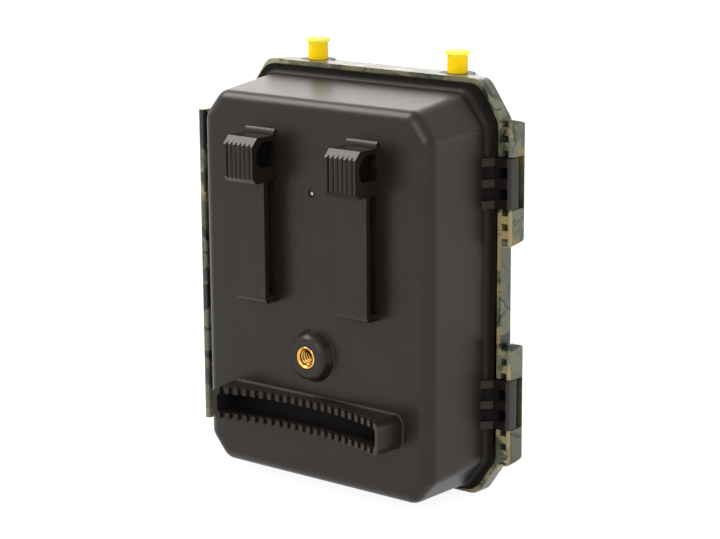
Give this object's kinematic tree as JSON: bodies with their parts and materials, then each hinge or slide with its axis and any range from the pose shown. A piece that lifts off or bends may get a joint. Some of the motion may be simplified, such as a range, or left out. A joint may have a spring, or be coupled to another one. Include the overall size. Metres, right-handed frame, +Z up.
{
  "type": "trail camera",
  "caption": "Weatherproof trail camera: camo front shell with lens, motion sensor and infrared window hinged on a dark back cover with strap loops, tree bracket and tripod thread.",
  "frame": {"origin": "on the flat underside of the front shell, in the plane of the two antenna jacks and midway between them", "axes": "+Z up, towards the antenna jacks; -Y the way the lens looks; +Y out of the back, along the tripod thread; +X towards the side latch"},
  "size_m": [0.1291, 0.0775, 0.1595],
  "materials": {
    "cover_plastic": "fine textured dark brown-black",
    "camo_plastic": "camo printed, olive, tan and grey-green",
    "insert_brass": "turned",
    "gasket_rubber": "matte",
    "tray_plastic": "black",
    "cell_metal": "plain sleeve",
    "plated_steel": "nickel plated",
    "screw_steel": "zinc plated",
    "face_plastic": "black",
    "window_plastic": "smoked, passes infrared",
    "board_green": "solder resist",
    "led_clear": "clear",
    "lens_clear": "coated",
    "dome_white": "milky",
    "sensor_metal": "can",
    "filter_red": "coated glass in a frame",
    "screen_black": "display",
    "panel_plastic": "dark grey",
    "key_grey": "light grey",
    "card_blue": "dark blue",
    "card_white": "white",
    "speaker_black": "cone",
    "jack_gold": "gold plated",
    "washer_black": "matte",
    "cap_yellow": "yellow-orange, slightly translucent"
  },
  "bodies": {
    "cover": {"back_cover": "cover_plastic", "strap_loop_left": "cover_plastic", "strap_loop_right": "cover_plastic", "tree_bracket": "cover_plastic", "tripod_insert": "insert_brass", "cover_gasket": "gasket_rubber", "battery_tray": "tray_plastic", "battery_cells": "cell_metal", "battery_springs": "plated_steel", "battery_contacts": "plated_steel", "tray_screws": "screw_steel"},
    "front": {"front_shell": "camo_plastic", "face_plate": "face_plastic", "led_window": "window_plastic", "led_board": "board_green", "ir_leds": "led_clear", "lens_bezel": "face_plastic", "lens_glass": "lens_clear", "lens_barrel": "speaker_black", "lens_holder": "speaker_black", "image_sensor": "board_green", "pir_dome": "dome_white", "pir_sensor": "sensor_metal", "status_window": "filter_red", "main_board": "board_green", "modem_module": "sensor_metal", "screen": "screen_black", "inner_panel": "panel_plastic", "switch_body": "sensor_metal", "sd_socket": "sensor_metal", "sim_socket": "sensor_metal", "speaker": "speaker_black", "microphone": "sensor_metal", "antenna_jack_left": "jack_gold", "antenna_jack_right": "jack_gold", "jack_washers": "washer_black", "jack_nuts": "jack_gold", "port_block": "tray_plastic", "latch_pin": "screw_steel", "hinge_pins": "screw_steel", "panel_screws": "screw_steel"},
    "lid": {"battery_lid": "tray_plastic"},
    "latch": {"latch_plate": "camo_plastic"},
    "cap_left": {"dust_cap_left": "cap_yellow"},
    "cap_right": {"dust_cap_right": "cap_yellow"},
    "menu_key": {"menu_key": "key_grey"},
    "ok_key": {"ok_key": "key_grey"},
    "up_key": {"up_key": "key_grey"},
    "down_key": {"down_key": "key_grey"},
    "left_key": {"left_key": "key_grey"},
    "right_key": {"right_key": "key_grey"},
    "mode_switch": {"mode_switch": "key_grey"},
    "sd_card": {"sd_card": "card_blue"},
    "sim_card": {"sim_card": "card_white"},
    "port_plug": {"port_plug": "gasket_rubber"},
    "ir_filter": {"ir_filter": "filter_red"}
  },
  "joints": [
    {"name": "front_hinge", "type": "hinge", "parent": "cover", "child": "front", "pos_m": [-0.0604, 0.0066, 0.0759], "axis": [0, 0, -1], "range_deg": [0, 110]},
    {"name": "latch_hinge", "type": "hinge", "parent": "front", "child": "latch", "pos_m": [0.0604, -0.001, 0.0759], "axis": [0, 0, -1], "range_deg": [0, 95]},
    {"name": "cap_left_lift", "type": "slide", "parent": "front", "child": "cap_left", "axis": [0, 0, 1], "range_m": [0, 0.022]},
    {"name": "cap_right_lift", "type": "slide", "parent": "front", "child": "cap_right", "axis": [0, 0, 1], "range_m": [0, 0.022]},
    {"name": "menu_key_press", "type": "slide", "parent": "front", "child": "menu_key", "axis": [0, -1, 0], "range_m": [0, 0.0006], "stiffness_N_per_m": 400, "springref_m": -0.0005},
    {"name": "ok_key_press", "type": "slide", "parent": "front", "child": "ok_key", "axis": [0, -1, 0], "range_m": [0, 0.0006], "stiffness_N_per_m": 400, "springref_m": -0.0005},
    {"name": "up_key_press", "type": "slide", "parent": "front", "child": "up_key", "axis": [0, -1, 0], "range_m": [0, 0.0006], "stiffness_N_per_m": 400, "springref_m": -0.0005},
    {"name": "down_key_press", "type": "slide", "parent": "front", "child": "down_key", "axis": [0, -1, 0], "range_m": [0, 0.0006], "stiffness_N_per_m": 400, "springref_m": -0.0005},
    {"name": "left_key_press", "type": "slide", "parent": "front", "child": "left_key", "axis": [0, -1, 0], "range_m": [0, 0.0006], "stiffness_N_per_m": 400, "springref_m": -0.0005},
    {"name": "right_key_press", "type": "slide", "parent": "front", "child": "right_key", "axis": [0, -1, 0], "range_m": [0, 0.0006], "stiffness_N_per_m": 400, "springref_m": -0.0005},
    {"name": "mode_slide", "type": "slide", "parent": "front", "child": "mode_switch", "axis": [1, 0, 0], "range_m": [0, 0.008]},
    {"name": "sd_slide", "type": "slide", "parent": "front", "child": "sd_card", "axis": [0, 0, -1], "range_m": [0, 0.014]},
    {"name": "sim_slide", "type": "slide", "parent": "front", "child": "sim_card", "axis": [0, 0, -1], "range_m": [0, 0.008]},
    {"name": "lid_slide", "type": "slide", "parent": "cover", "child": "lid", "axis": [0, 0, -1], "range_m": [0, 0.008]},
    {"name": "plug_hinge", "type": "hinge", "parent": "front", "child": "port_plug", "pos_m": [-0.0383, -0.0007, 0.0001], "axis": [0, 1, 0], "range_deg": [0, 100]},
    {"name": "filter_slide", "type": "slide", "parent": "front", "child": "ir_filter", "axis": [1, 0, 0], "range_m": [0, 0.006]}
  ]
}
